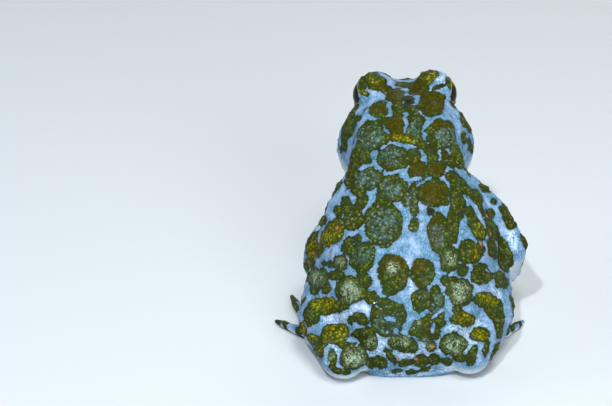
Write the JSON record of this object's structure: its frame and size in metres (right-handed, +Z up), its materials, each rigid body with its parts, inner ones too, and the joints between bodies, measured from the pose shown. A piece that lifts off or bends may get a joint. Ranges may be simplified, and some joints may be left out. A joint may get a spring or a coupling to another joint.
{
  "type": "european green toad",
  "caption": "Life-size green toad sitting still on its belly and feet, back raised, warty skin, bulging lidded eyes and splayed toes.",
  "frame": {"origin": "on the floor under the middle of the toad's box", "axes": "+Z up; the toad faces -Y; its left side is +X"},
  "size_m": [0.0541, 0.067, 0.0463],
  "materials": {
    "toad_skin": "moist warty skin",
    "toad_eye": "wet gloss"
  },
  "bodies": {
    "root": {"head": "toad_skin", "neck": "toad_skin", "torso": "toad_skin", "rump": "toad_skin", "upper_arm_left": "toad_skin", "forearm_left": "toad_skin", "hand_left": "toad_skin", "thigh_left": "toad_skin", "shank_left": "toad_skin", "foot_left": "toad_skin", "upper_arm_right": "toad_skin", "forearm_right": "toad_skin", "hand_right": "toad_skin", "thigh_right": "toad_skin", "shank_right": "toad_skin", "foot_right": "toad_skin", "eye_left": "toad_eye", "eye_right": "toad_eye"}
  },
  "joints": []
}
